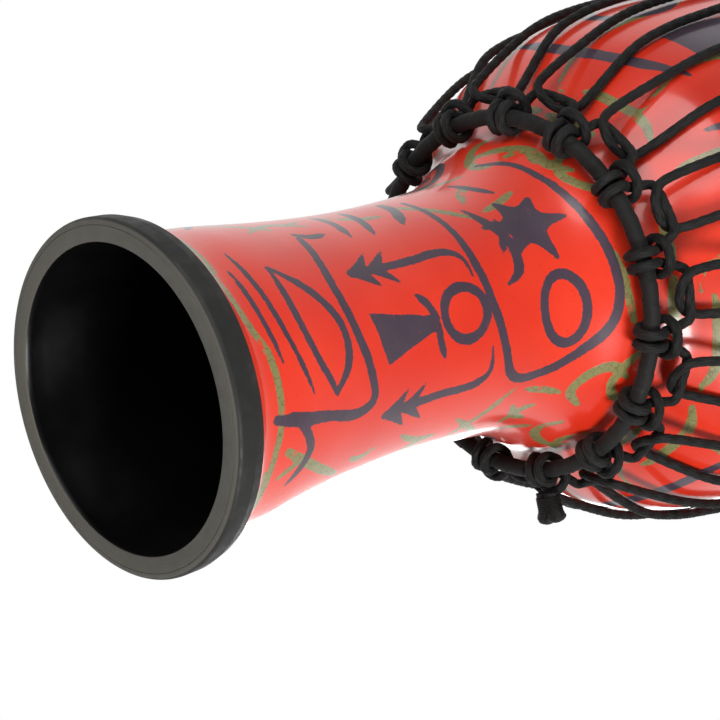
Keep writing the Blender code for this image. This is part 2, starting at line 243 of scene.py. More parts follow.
def tube(line, radius, sides, closed=False, relief=None):
    """A tube along a line. relief(along, angle) is a height over the radius, as a share of it."""
    line = np.asarray(line, float)
    count = len(line)
    ahead = np.roll(line, -1, 0) if closed else np.vstack([line[1:], 2 * line[-1:] - line[-2:-1]])
    behind = np.roll(line, 1, 0) if closed else np.vstack([2 * line[:1] - line[1:2], line[:-1]])
    tangents = ahead - behind
    tangents /= np.linalg.norm(tangents, axis=1)[:, None]
    seed = (0.0, 0.0, 1.0) if abs(tangents[0][2]) < 0.9 else (1.0, 0.0, 0.0)
    normal = np.cross(seed, tangents[0])
    normals = []
    for tangent in tangents:
        normal = unit(normal - tangent * (normal @ tangent))
        normals.append(normal)
    normals = np.array(normals)
    twist = np.zeros(count)
    if closed:
        last = normals[-1] - tangents[0] * (normals[-1] @ tangents[0])
        turn = math.atan2(np.cross(last, normals[0]) @ tangents[0], last @ normals[0])
        twist = turn * np.arange(count) / count
    binormals = np.cross(tangents, normals)
    angle = math.tau * np.arange(sides)[None, :] / sides
    along = run_along(line)[:, None]
    reach = np.reshape(radius, (-1, 1)) * np.ones((count, sides))
    if relief:
        reach = reach * (1.0 + relief(along, angle))
    turned_angle = angle + twist[:, None]
    vertices = (
        line[:, None, :]
        + (reach * np.cos(turned_angle))[..., None] * normals[:, None, :]
        + (reach * np.sin(turned_angle))[..., None] * binormals[:, None, :]
    )
    lay = np.stack(np.broadcast_arrays(np.cos(angle), np.sin(angle), along), -1)
    faces = net(count, sides, closed).tolist()
    if not closed:
        faces.append(list(range(sides))[::-1])
        faces.append(list(range((count - 1) * sides, count * sides)))
    return vertices.reshape(-1, 3), faces, lay.reshape(-1, 3)


def braid(along, angle):
    """Relief of a round braid, whose strands pass over and under each other."""
    turn, rise = BRAID_STRANDS * angle / math.tau, along / BRAID_REPEAT
    first, second = turn + rise, turn - rise
    over = (np.floor(first) + np.floor(second)) % 2 < 1
    crest = np.where(over, np.sin(math.pi * (first % 1.0)), np.sin(math.pi * (second % 1.0)))
    return BRAID_HEIGHT * (np.abs(crest) - 0.45)


def rope_part(points, closed=False):
    return tube(smooth(points, ROPE_STEP, closed), ROPE_RADIUS, ROPE_SIDES, closed, braid)


def new_object(name, data):
    thing = bpy.data.objects.new(name, data)
    bpy.context.scene.collection.objects.link(thing)
    return thing


def add_piece(name, parts, materials, nodes, material_of=None, fields=()):
    """One piece of the drum out of mesh parts. It rides on the drum and replaces the CAD nodes."""
    faces, base = [], 0
    for points, part_faces, _ in parts:
        faces += [[base + corner for corner in face] for face in part_faces]
        base += len(points)
    mesh = bpy.data.meshes.new(name)
    mesh.from_pydata(np.vstack([points for points, _, _ in parts]).tolist(), [], faces)
    for material in materials:
        mesh.materials.append(material)
    if material_of is not None:
        mesh.polygons.foreach_set("material_index", np.asarray(material_of, np.int32))
    if parts[0][2] is not None:
        attribute = mesh.attributes.new("lay", "FLOAT_VECTOR", "POINT")
        lays = np.vstack([lay for _, _, lay in parts])
        attribute.data.foreach_set("vector", lays.astype(np.float32).ravel())
    for field_name, values in fields:
        attribute = mesh.attributes.new(field_name, "FLOAT", "POINT")
        attribute.data.foreach_set("value", np.asarray(values, np.float32).ravel())
    mesh.shade_smooth()
    mesh.set_sharp_from_angle(angle=SHARP_EDGE)
    piece = new_object(name, mesh)
    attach(piece, "root")
    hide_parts(*nodes)


# -------- materials
class Nodes:
    """Adds nodes to one node tree with short calls."""

    def __init__(self, tree):
        self.tree = tree
        self.coordinates = self.add("TexCoord").outputs
        self.place = self.coordinates["Object"]

    def feed(self, socket, value):
        if isinstance(value, bpy.types.NodeSocket):
            self.tree.links.new(value, socket)
        elif isinstance(value, tuple) and len(value) == 3 and socket.type == "RGBA":
            socket.default_value = (*value, 1.0)
        else:
            socket.default_value = value

    def add(self, kind, *values, **settings):
        """A new node with its settings made and its first inputs fed."""
        node = self.tree.nodes.new("ShaderNode" + kind)
        for name, setting in settings.items():
            setattr(node, name, setting)
        for socket, value in zip(node.inputs, values):
            self.feed(socket, value)
        return node

    def math(self, operation, *values):
        return self.add("Math", *values, operation=operation).outputs[0]

    def plus(self, first, second):
        return self.math("ADD", first, second)

    def times(self, first, second):
        return self.math("MULTIPLY", first, second)

    def noise(self, scale, detail=2.0, place=None, roughness=0.5):
        node = self.add("TexNoise", place or self.place)
        for socket, value in (("Scale", scale), ("Detail", detail), ("Roughness", roughness)):
            self.feed(node.inputs[socket], value)
        return node.outputs["Fac"]

    def swing(self, noise, reach):
        """The noise moved to lie about zero, from half the reach below it to half above."""
        return self.times(self.math("SUBTRACT", noise, 0.5), reach)

    def cell_edges(self, scale):
        node = self.add("TexVoronoi", self.place, feature="DISTANCE_TO_EDGE")
        self.feed(node.inputs["Scale"], scale)
        return node.outputs["Distance"]

    def stretched(self, scales):
        return self.add("VectorMath", self.place, scales, operation="MULTIPLY").outputs[0]

    def step(self, value, low, high, bottom=0.0, top=1.0):
        """A soft step: bottom below low, top above high."""
        values = (value, low, high, bottom, top)
        return self.add("MapRange", *values, interpolation_type="SMOOTHSTEP").outputs[0]

    def blend(self, share, first, second):
        node = self.add("Mix", data_type="RGBA")
        sockets = {socket.identifier: socket for socket in (*node.inputs, *node.outputs)}
        for name, value in (("Factor_Float", share), ("A_Color", first), ("B_Color", second)):
            self.feed(sockets[name], value)
        return sockets["Result_Color"]

    def choose(self, share, first, second):
        return self.add("MixShader", share, first, second).outputs[0]

    def finish(self, output, shader):
        self.feed(self.tree.nodes[output].inputs["Surface"], shader)

    def split(self, vector):
        return self.add("SeparateXYZ", vector).outputs


class Finish(Nodes):
    """One material."""

    def __init__(self, name, **constants):
        self.material = bpy.data.materials.new(name)
        self.material.use_nodes = True
        super().__init__(self.material.node_tree)
        self.surface = self.tree.nodes["Principled BSDF"]
        for socket, value in constants.items():
            self.surface.inputs[socket.replace("_", " ")].default_value = value

    def attribute(self, name, output="Fac"):
        return self.add("Attribute", attribute_name=name).outputs[output]

    def colour(self, value):
        self.feed(self.surface.inputs["Base Color"], value)

    def roughness(self, value):
        self.feed(self.surface.inputs["Roughness"], value)

    def bump(self, height, distance, strength=1.0):
        """Adds a bump whose height value of 1 stands for the distance in metres."""
        node = self.add("Bump")
        node.inputs["Strength"].default_value = strength
        node.inputs["Distance"].default_value = distance
        self.feed(node.inputs["Height"], height)
        normal = self.surface.inputs["Normal"]
        if normal.is_linked:
            self.tree.links.new(normal.links[0].from_socket, node.inputs["Normal"])
        self.tree.links.new(node.outputs[0], normal)


def lacquer_finish():
    """Red lacquer with brushed dark motifs and thin crackled green lines."""
    f = Finish("red_lacquer", IOR=1.46, Coat_Weight=0.85, Coat_Roughness=0.13)
    cloud = f.noise(14.0, 3.0)
    grain = f.noise(620.0, 3.0)
    red = f.blend(f.step(cloud, 0.35, 0.65), (0.78, 0.030, 0.009), (0.86, 0.043, 0.014))
    red = f.blend(f.step(grain, 0.62, 0.80), red, (0.68, 0.020, 0.010))
    # ink: the field is the distance to a motif's edge in millimetres, negative inside it
    ragged = f.swing(f.noise(480.0, 3.0, roughness=0.65), 1.5)
    wander = f.swing(f.noise(90.0, 2.0), 1.2)
    edge = f.plus(f.attribute("ink"), f.plus(ragged, wander))
    bristles = f.noise(1.0, 3.0, f.stretched((160.0, 160.0, 700.0)), 0.7)
    ink = f.times(f.step(edge, 0.28, -0.28), f.step(bristles, 0.58, 0.86, 1.0, 0.72))
    ink_tone = f.blend(f.noise(60.0, 3.0), (0.046, 0.029, 0.047), (0.080, 0.054, 0.078))
    # green: broken into flakes, with dark cracks between them
    flakes = f.swing(f.noise(300.0, 4.0, roughness=0.7), 1.7)
    gaps = f.step(f.noise(70.0, 2.0), 0.30, 0.37, 0.15, 1.0)
    green = f.times(f.step(f.plus(f.attribute("green"), flakes), 0.25, -0.25), gaps)
    cracks = f.step(f.plus(f.cell_edges(240.0), f.times(f.noise(420.0, 3.0), 0.16)), 0.16, 0.07)
    green_tone = f.blend(f.noise(160.0, 3.0), (0.13, 0.215, 0.068), (0.21, 0.32, 0.125))
    green_tone = f.blend(f.times(cracks, 0.55), green_tone, (0.045, 0.042, 0.030))
    painted = f.blend(f.times(green, 0.88), red, green_tone)
    f.colour(f.blend(ink, painted, ink_tone))
    f.roughness(f.plus(f.step(f.noise(35.0, 4.0), 0.3, 0.7, 0.30, 0.38), f.times(ink, 0.06)))
    f.bump(f.plus(f.times(ink, 0.5), f.times(green, 0.5)), 0.00008)
    f.bump(f.noise(240.0, 2.0), 0.00012, 0.5)
    return f.material


def inside_finish():
    """The bare moulded inside: black, with a smooth soft gloss and faint mould marks."""
    f = Finish("black_inside", IOR=1.40)
    f.colour(f.blend(f.noise(30.0, 4.0), (0.0016, 0.0016, 0.0016), (0.0036, 0.0036, 0.0036)))
    f.roughness(f.step(f.noise(45.0, 3.0), 0.3, 0.7, 0.27, 0.36))
    f.bump(f.noise(500.0, 2.0), 0.00005, 0.4)
    return f.material


def rubber_finish():
    """Matt moulded rubber: a grey face that stands on the floor, painted lighter as painted light from
    below, and a band painted darker as painted shade.
    """
    f = Finish("foot_rubber", IOR=1.42)
    height = f.split(f.place)[2]
    face = f.step(height, 0.0009, 0.0002)
    dust = f.step(f.noise(55.0, 5.0, roughness=0.65), 0.50, 0.72)
    # painted light and shade: the flat face gets a lighter grey as painted light from below, and the band
    # a darker tone as painted shade; the dust is real
    band = f.blend(f.noise(18.0, 3.0), (0.0135, 0.0133, 0.0127), (0.020, 0.0197, 0.0188))
    lit_face_tone = f.blend(f.noise(30.0, 4.0), (0.096, 0.090, 0.074), (0.124, 0.116, 0.098))
    f.colour(f.blend(f.times(dust, 0.25), f.blend(face, band, lit_face_tone), (0.085, 0.082, 0.075)))
    f.roughness(f.step(f.noise(150.0, 4.0), 0.3, 0.7, 0.50, 0.66))
    f.bump(f.noise(1500.0, 3.0), 0.00009, 0.7)
    scuffs = f.noise(1.0, 2.0, f.stretched((60.0, 420.0, 200.0)), 0.6)
    f.bump(f.step(scuffs, 0.62, 0.70), 0.00006, 0.6)
    return f.material


def rope_finish():
    """Braided rope: crossing strands, fine fibres and a few lighter worn hairs."""
    f = Finish("braided_rope", IOR=1.36, Sheen_Weight=0.03, Sheen_Roughness=0.45)
    across, up, along = f.split(f.attribute("lay", "Vector"))
    strands, repeat = 8.0, 0.0100
    turn = f.times(f.math("DIVIDE", f.math("ARCTAN2", up, across), math.tau), strands)
    rise = f.math("DIVIDE", along, repeat)
    first, second = f.plus(turn, rise), f.math("SUBTRACT", turn, rise)
    over = f.math("MODULO", f.plus(f.math("FLOOR", first), f.math("FLOOR", second)), 2.0)
    over = f.math("ABSOLUTE", over)
    crests = [f.math("ABSOLUTE", f.math("SINE", f.times(value, math.pi))) for value in (first, second)]
    upper = f.times(crests[0], f.math("SUBTRACT", 1.0, over))
    weave = f.plus(upper, f.times(crests[1], over))
    lattice = f.add("CombineXYZ", f.times(first, 9.0), f.times(second, 9.0), 0.0).outputs[0]
    fibres = f.noise(1.0, 3.0, lattice)
    worn = f.step(f.noise(90.0, 3.0), 0.45, 0.75)
    tone = f.blend(fibres, (0.0045, 0.0044, 0.0042), (0.0135, 0.0132, 0.0126))
    tone = f.blend(f.times(worn, 0.35), tone, (0.026, 0.0255, 0.0235))
    # painted shade: the valleys between the crossing strands are painted near black
    f.colour(f.blend(f.step(weave, 0.35, 0.0), tone, (0.002, 0.002, 0.002)))
    f.roughness(f.step(fibres, 0.3, 0.7, 0.55, 0.78))
    f.bump(weave, 0.00045, 0.8)
    f.bump(fibres, 0.00018, 0.6)
    return f.material


def wrap_finish():
    """Dark cloth tape wound round the rings, with a plain weave."""
    f = Finish("ring_cloth", IOR=1.36, Sheen_Weight=0.03, Sheen_Roughness=0.5)
    x, y, z = f.split(f.place)
    warp = f.math("SINE", f.times(f.times(f.math("ARCTAN2", y, x), 130.0), 1.6))
    weft = f.math("SINE", f.times(z, 5200.0))
    fuzz = f.noise(900.0, 3.0)
    tone = f.blend(fuzz, (0.0055, 0.0054, 0.0052), (0.0145, 0.0142, 0.0136))
    f.colour(f.blend(f.step(f.noise(45.0, 3.0), 0.5, 0.75, 0.0, 0.4), tone, (0.024, 0.0235, 0.022)))
    f.roughness(f.step(fuzz, 0.3, 0.7, 0.62, 0.82))
    f.bump(f.times(warp, weft), 0.00007, 0.5)
    f.bump(fuzz, 0.00012, 0.5)
    return f.material


def head_finish():
    """Textured synthetic skin: warm off-white, faintly fibrous, a little worn in the middle."""
    f = Finish("head_skin", IOR=1.48, Subsurface_Weight=0.08, Subsurface_Scale=0.002)
    x, y, _ = f.split(f.place)
    worn = f.step(f.math("SQRT", f.plus(f.times(x, x), f.times(y, y))), 0.115, 0.045)
    fibres = f.noise(1.0, 4.0, f.stretched((520.0, 90.0, 300.0)), 0.65)
    tone = f.blend(f.noise(9.0, 4.0), (0.52, 0.475, 0.385), (0.62, 0.58, 0.49))
    tone = f.blend(f.times(f.step(fibres, 0.5, 0.75), 0.4), tone, (0.42, 0.365, 0.28))
    smudge = f.times(worn, f.step(f.noise(28.0, 4.0), 0.35, 0.75, 0.05, 0.32))
    f.colour(f.blend(smudge, tone, (0.36, 0.325, 0.27)))
    f.roughness(f.step(fibres, 0.3, 0.7, 0.42, 0.60))
    f.bump(fibres, 0.00012, 0.7)
    f.bump(f.noise(1400.0, 2.0), 0.00005, 0.7)
    return f.material


def steel_finish():
    """Drawn steel rod with fine lines and a few dull spots."""
    f = Finish("ring_steel", Metallic=1.0)
    spots = f.step(f.noise(220.0, 4.0), 0.55, 0.75)
    f.colour(f.blend(f.times(spots, 0.5), (0.42, 0.42, 0.43), (0.20, 0.18, 0.16)))
    f.roughness(f.step(f.noise(1.0, 3.0, f.stretched((900.0, 900.0, 60.0))), 0.3, 0.7, 0.28, 0.45))
    f.bump(spots, 0.00004, 0.6)
    return f.material


# -------- artwork on the shell
# Motifs are drawn flat: (degrees from the front, height in millimetres). Widths are in millimetres.
ART_STEP = 1.6
OVAL_POINTS = 14
TAPER = 0.22  # share of a stroke's length over which each end thins
FAR = 8.0  # a field says no more than this many millimetres


def stroke(points, width=4.4, ends=(0.35, 0.35)):
    """A brush stroke: full width in the middle, and the given shares of it at its ends."""
    line = smooth(points, ART_STEP)
    share = np.linspace(0.0, 1.0, len(line))
    start = ends[0] + (1.0 - ends[0]) * np.clip(share / TAPER, 0.0, 1.0)
    end = ends[1] + (1.0 - ends[1]) * np.clip((1.0 - share) / TAPER, 0.0, 1.0)
    return line, 0.5 * width * np.minimum(start, end)


def loop(points, width):
    line = smooth(points, ART_STEP, closed=True)
    return np.vstack([line, line[:1]]), np.full(len(line) + 1, 0.5 * width)


def blob(points):
    """A filled shape."""
    return np.array([*points, points[0]], float), None


def oval(centre, half_degrees, half_height, width):
    turns = [math.tau * step / OVAL_POINTS for step in range(OVAL_POINTS)]
    x, y = centre
    return loop([(x + half_degrees * math.cos(t), y + half_height * math.sin(t)) for t in turns], width)


def star(centre, arms, outer, inner, degrees_per_mm, twist):
    """A filled star with soft arms that differ a little in length."""
    points = []
    for index in range(2 * arms):
        turn = twist + math.pi * index / arms
        reach = inner if index % 2 else outer * (0.84 + 0.16 * math.cos(2.4 * index))
        across, up = reach * degrees_per_mm * math.cos(turn), reach * math.sin(turn)
        points.append((centre[0] + across, centre[1] + up))
    return blob(smooth(points, 1.2, closed=True))


def arrow(degrees, low, high, hook, wide=9.5, thick=4.8):
    """An arrow that points to the foot, with two pairs of barbs and a hooked tail."""
    shaft = [(degrees, low), (degrees - 0.5, 0.5 * (low + high)), (degrees - 0.8, high - 9)]
    tail = [(degrees + 0.3 * hook, high - 1), (degrees + hook, high)]
    shapes = [stroke(shaft + tail, thick, (0.9, 0.35))]
    for tip, end, fork in ((-3, 17, 11), (9, 30, 22)):
        left, right = (degrees - wide, low + end), (degrees + wide, low + end)
        shapes.append(blob([(degrees, low + tip), left, (degrees, low + fork), right]))
    return shapes


def foot_tier():
    """Two slanting strokes, a half moon and the line that closes the tier."""
    return [
        stroke([(-47, 42), (-24, 45), (-8, 48), (8, 54), (17, 58)], 3.4, (0.3, 0.4)),
        stroke([(-37, 35), (-15, 37.5), (2, 41)], 3.2, (0.3, 0.4)),
        stroke([(-35, 58), (-14, 58.5), (0, 62), (18.5, 73)], 4.4, (0.5, 0.7)),
        stroke([(-35, 58), (-21, 75), (-5, 85), (9, 83), (18.5, 73)], 4.8, (0.5, 0.7)),
        stroke([(-51, 112), (-50, 103), (-53, 95)], 4.6, (0.4, 0.9)),
        stroke([(-53, 95), (-44, 94), (-23, 90.5), (-3, 93), (14, 98), (26.5, 99.5), (30, 90), (26, 65),
                (22, 42)], 5.4, (0.8, 1.0)),
        stroke([(21, 32), (24, 46), (26.5, 61)], 5.6, (0.8, 0.6)),
        stroke([(24, 47), (30, 53), (37, 56.5), (44, 53), (51, 46)], 5.2, (0.9, 0.4)),
    ]


def middle_tier():
    """Two arrows with a ring on a tall triangle between them."""
    return [
        *arrow(-26, 106, 182, 13),
        blob([(-8, 104.5), (15, 110.5), (5, 150), (0, 150)]),
        oval((2.0, 169.5), 11.6, 14.6, 5.6),
        stroke([(-11, 140), (-5, 146), (1, 149)], 5.0, (0.4, 1.0)),
        stroke([(4, 149), (11, 149), (19, 151)], 4.6, (1.0, 0.4)),
        *arrow(36, 109, 185, -16),
    ]


def side_strokes():
    """Three short level strokes."""
    return [
        stroke([(-72, 125), (-60, 127), (-46, 126)], 5.0, (0.5, 0.3)),
        stroke([(-72, 145), (-58, 144.5), (-45, 141)], 5.4, (0.5, 0.3)),
        stroke([(-72, 173), (-60, 171), (-48, 164)], 6.4, (0.6, 0.3)),
    ]


def shoulder_tier(whole=True):
    """A rounded frame with a star, a curled leaf stroke and an oval ring. whole adds its far end."""
    frame_line = [(-66, 184), (-40, 187), (-19, 187.5), (3, 189.6), (23, 195), (35, 200), (39, 208),
                  (37, 228), (29, 246), (20, 259.5), (9, 264.5), (-7, 264), (-25, 260.5), (-43, 257)]
    shapes = [
        star((-29, 231), 6, 27.0, 12.0, 0.80, 0.30),
        stroke([(-47, 205), (-37, 210), (-27, 215), (-16, 215.5), (-9, 212), (-5, 203)], 6.4,
               (0.3, 0.3)),
        stroke([(-36, 217), (-27, 214), (-19, 208)], 5.0, (0.4, 0.3)),
        oval((11, 235), 14.6, 12.4, 5.6),
    ]
    if whole:
        frame_line += [(-60, 254), (-72, 247)]
        shapes.append(stroke([(-70, 222), (-60, 226), (-50, 232)], 4.6, (0.4, 0.3)))
    else:
        frame_line = frame_line[1:]
    return [*shapes, stroke(frame_line, 5.6, (0.6, 0.5))]


def green_lines():
    """Thin green lines round the flange, up the side and over the shoulder."""
    return [
        stroke([(-66, 22), (-42, 23), (-13, 28), (-3, 33.5), (11, 35.5), (24, 35), (36, 32), (50, 29.5),
                (66, 28), (84, 27)], 4.4, (0.6, 0.6)),
        stroke([(35, 41), (42, 54), (60, 86)], 5.4, (0.8, 0.6)),
        stroke([(46, 37), (42, 48), (38, 60)], 3.4, (0.6, 0.4)),
        stroke([(53, 92), (56, 101), (53, 111)]),
        stroke([(52, 128), (60, 144), (62, 160)]),
        stroke([(54, 170), (66, 188), (80, 207)]),
        stroke([(69, 211), (61, 218), (57, 228)], 5.0),
        stroke([(78, 215), (74, 240)]),
        stroke([(56, 253), (50, 245.5), (45, 247), (39, 255), (37, 264), (41, 272)], 6.0, (0.6, 0.5)),
        stroke([(93, 277), (87, 269), (80, 265), (75, 268), (72, 277)], 5.4, (0.6, 0.6)),
        stroke([(-79, 253), (-69, 262), (-58, 267.5), (-47, 265), (-40, 271)], 6.0, (0.6, 0.6)),
        stroke([(-64, 258), (-60, 266), (-52, 262)], 5.0, (0.7, 0.7)),
        stroke([(-11, 262.5), (-5, 265.8), (2, 267.8), (12, 269.2), (24, 272)], 4.8, (0.5, 0.5)),
        stroke([(-58, 70), (-66, 92), (-60, 112)], 4.0),
        stroke([(-84, 192), (-80, 214), (-72, 236)]),
    ]


def bowl_lines():
    """Large strokes on the bowl, between the ropes: frames, arrows, rings and triangles."""
    return [
        stroke([(-34, 322), (-30, 372), (-31, 420), (-26, 440)], 8.0),
        stroke([(-30, 334), (-8, 322), (12, 326), (24, 338)], 7.4),
        oval((-9, 380), 9.0, 24.0, 8.4),
        blob([(8, 350), (22, 354), (16, 414), (12, 414)]),
        stroke([(-31, 446), (-6, 436), (18, 440), (30, 452)], 7.4),
        *arrow(-17, 458, 556, 9, 5.6, 6.4),
        star((12, 500), 7, 33.0, 15.0, 0.37, 0.2),
        stroke([(-32, 572), (-6, 580), (22, 574)], 6.8),
    ]


def bowl_greens():
    return [
        stroke([(-33, 304), (-27, 307), (-15, 306), (-6, 305)], 6.0, (0.6, 0.6)),
        stroke([(-18, 291), (-8, 289.5), (0, 290.5)], 6.6, (0.7, 0.7)),
        stroke([(4, 291.5), (14, 292), (24, 294)], 6.0, (0.6, 0.6)),
        stroke([(-5, 300), (2, 303), (4, 316), (0, 384), (6, 424)], 5.4),
        stroke([(-24, 310), (-21, 340), (-25, 392), (-20, 430)], 5.4),
        stroke([(30, 300), (27, 352), (33, 400), (28, 440)], 5.4),
        stroke([(-4, 448), (2, 500), (-6, 548)], 5.0),
        stroke([(27, 452), (32, 510), (26, 566)], 5.0),
    ]


def moved(shapes, turn, mirrored=False):
    """The shapes turned round the drum by some degrees, and drawn the other way round if mirrored."""
    side = -1.0 if mirrored else 1.0
    return [(line * (side, 1.0) + (turn, 0.0), half) for line, half in shapes]


def artwork():
    """All dark motifs and all green lines round the drum."""
    dark = foot_tier() + middle_tier() + side_strokes() + shoulder_tier()
    dark += moved(foot_tier(), 126, True) + moved(middle_tier(), 124, True)
    dark += moved(foot_tier(), 239) + moved(middle_tier(), 226)
    dark += moved(shoulder_tier(False), 134, True) + moved(shoulder_tier(False), 238)
    dark += moved(side_strokes(), 120, True)
    green = green_lines() + moved(green_lines(), 124, True) + moved(green_lines(), 240)
    for index in range(5):
        dark += moved(bowl_lines(), 8 + 72 * index, index % 2 == 1)
        green += moved(bowl_greens(), 8 + 72 * index, index % 2 == 0)
    return dark, green


def drawn_field(shapes, degrees, travelled, radius_mm, heights_mm, run_mm):
    """Signed distance in millimetres from every vertex to the nearest shape's edge, negative inside."""
    field = np.full(degrees.shape, FAR)
    for line, half in shapes:
        middle = 0.5 * (line[:, 0].min() + line[:, 0].max())
        level = float(np.interp(line[:, 1].mean(), heights_mm, radius_mm))
        scale = math.radians(1.0) * level
        spots = np.stack([(line[:, 0] - middle) * scale, np.interp(line[:, 1], heights_mm, run_mm)], 1)
        across = ((degrees - middle + 180.0) % 360.0 - 180.0) * scale
        margin = FAR + (0.0 if half is None else half.max())
        reach = np.ptp(spots[:, 0]) / 2 + margin + 4.0
        near = (np.abs(across - spots[:, 0].mean()) < reach) & (
            travelled > spots[:, 1].min() - margin) & (travelled < spots[:, 1].max() + margin)
        u, v = across[near], travelled[near]
        best = np.full(u.shape, FAR)
        inside = np.zeros(u.shape, bool)
        for index, (a, b) in enumerate(zip(spots, spots[1:])):
            along = b - a
            covered = (u - a[0]) * along[0] + (v - a[1]) * along[1]
            share = np.clip(covered / max(along @ along, 1e-9), 0, 1)
            distance = np.hypot(u - a[0] - share * along[0], v - a[1] - share * along[1])
            if half is None:
                crosses = (a[1] > v) != (b[1] > v)
                with np.errstate(divide="ignore", invalid="ignore"):
                    inside ^= crosses & (u < a[0] + (v - a[1]) * along[0] / along[1])
            else:
                distance = distance - (half[index] + (half[index + 1] - half[index]) * share)
            best = np.minimum(best, distance)
        if half is None:
            best = np.where(inside, -best, best)
        field[near] = np.minimum(field[near], best)
    return field


# -------- shell
def outer_outline():
    """The shell's outside from foot to head as (radius, height), fine on the stem and coarser above."""
    line = smooth(SHELL_LINE, 0.0004)
    low = line[line[:, 1] < BOWL_FROM]
    high = line[line[:, 1] >= BOWL_FROM]
    return np.vstack([evenly(low, STEM_STEP), evenly(high, BOWL_STEP)])


def offset_inward(line, distance):
    tangent = np.gradient(line, axis=0)
    tangent /= np.linalg.norm(tangent, axis=1)[:, None]
    return line + np.stack([-tangent[:, 1], tangent[:, 0]], 1) * distance


def build_shell(lacquer, inside_black):
    outer = outer_outline()
    inner = offset_inward(smooth(SHELL_LINE, 0.014), WALL)[::-1][:-1]
    foot_inner = BOOT_INNER_RADIUS + GAP
    half = 0.5 * WALL
    lip = [
        (outer[-1][0] - half + half * math.cos(t), SHELL_TOP - half + half * math.sin(t))
        for t in np.radians([10, 35, 60, 90, 120, 150])
    ]
    flange = [(outer[0][0], SHELL_FOOT_HEIGHT), (outer[0][0], SHELL_FOOT_INNER_TOP)]
    foot_in = [(foot_inner, SHELL_FOOT_INNER_TOP), (foot_inner, SHELL_FOOT_HEIGHT)]
    outline = np.vstack([flange, outer, lip, inner, foot_in])
    rows = len(outline)
    outside_rows = len(flange) + len(outer) + 2  # the lacquer reaches onto the lip
    material_of = np.repeat((np.arange(rows) >= outside_rows).astype(int), SHELL_COLUMNS)

    run = run_along(outer) / MM
    degrees = np.repeat(360.0 * np.arange(SHELL_COLUMNS)[None, :] / SHELL_COLUMNS, len(outer), 0)
    travelled = np.repeat(run[:, None], SHELL_COLUMNS, 1)
    fields = []
    for name, shapes in zip(("ink", "green"), artwork()):
        field = np.full((rows, SHELL_COLUMNS), FAR)
        drawn = drawn_field(shapes, degrees, travelled, outer[:, 0] / MM, outer[:, 1] / MM, run)
        field[len(flange): len(flange) + len(outer)] = drawn
        fields.append((name, field))
    add_piece("shell_lacquered", [turned(outline, SHELL_COLUMNS)], [lacquer, inside_black],
              ["shell"], material_of, fields)


# -------- boot, rings and head
def build_boot(rubber, inside_black):
    """Band, flat face and a narrow inner edge, which is as black as the shell's inside."""
    shell_outer = SHELL_OUTLINE[0][1] + GAP
    seat = SHELL_FOOT_HEIGHT - GAP
    groove = FOOT_RADIUS - BOOT_EDGE - GROOVE_INSET
    inner_edge = [(BOOT_INNER_RADIUS, seat), (BOOT_INNER_RADIUS, BOOT_CHAMFER)]
    band = filleted([
        (BOOT_INNER_RADIUS + BOOT_CHAMFER, 0.0, 0.0),
        (groove - 0.5 * GROOVE_WIDTH, 0.0, 0.0),
        (groove, GROOVE_DEPTH, 0.0),
        (groove + 0.5 * GROOVE_WIDTH, 0.0, 0.0),
        (FOOT_RADIUS, 0.0, BOOT_EDGE),
        (FOOT_RADIUS - 0.12 * BOOT_TOP_INSET, 0.6 * BOOT_HEIGHT, 0.004),
        (FOOT_RADIUS - 0.62 * BOOT_TOP_INSET, 0.93 * BOOT_HEIGHT, 0.001),
        (FOOT_RADIUS - BOOT_TOP_INSET, BOOT_HEIGHT, 0.0004),
        (shell_outer, BOOT_HEIGHT, 0.0002),
        (shell_outer, seat, 0.0),
    ])
    outline = np.vstack([inner_edge, band])
    material_of = np.zeros((len(outline), BOOT_COLUMNS), int)
    material_of[[0, -1]] = 1
    add_piece("foot_boot", [turned(outline, BOOT_COLUMNS)], [rubber, inside_black],
              ["foot_ring"], material_of.ravel())


def wound_ring(name, ring, turns, columns, sides, material, node):
    """A ring wound with an overlapping cloth strip, as a slanting row of shallow steps."""
    radius, height = ring
    rng = np.random.default_rng(len(name))
    uneven = rng.uniform(-0.15, 0.15, turns + 1)
    turn = np.arange(columns)[:, None] / columns
    angle = math.tau * np.arange(sides)[None, :] / sides
    place = turn * turns + angle / math.tau
    strip = np.floor(place).astype(int) % turns
    inside = place - np.floor(place)
    rise = np.clip((1.0 - inside) * 1.15 + uneven[strip], 0, 1)
    reach = WRAP_TUBE_RADIUS - CLOTH_THICKNESS + CLOTH_THICKNESS * rise
    azimuth = FRONT + math.tau * turn
    out = radius + reach * np.cos(angle)
    up = height - reach * np.sin(angle)
    vertices = np.stack([out * np.cos(azimuth), out * np.sin(azimuth), up], -1)
    part = (vertices.reshape(-1, 3), net(columns, sides, True).tolist(), None)
    add_piece(name, [part], [material], [node])


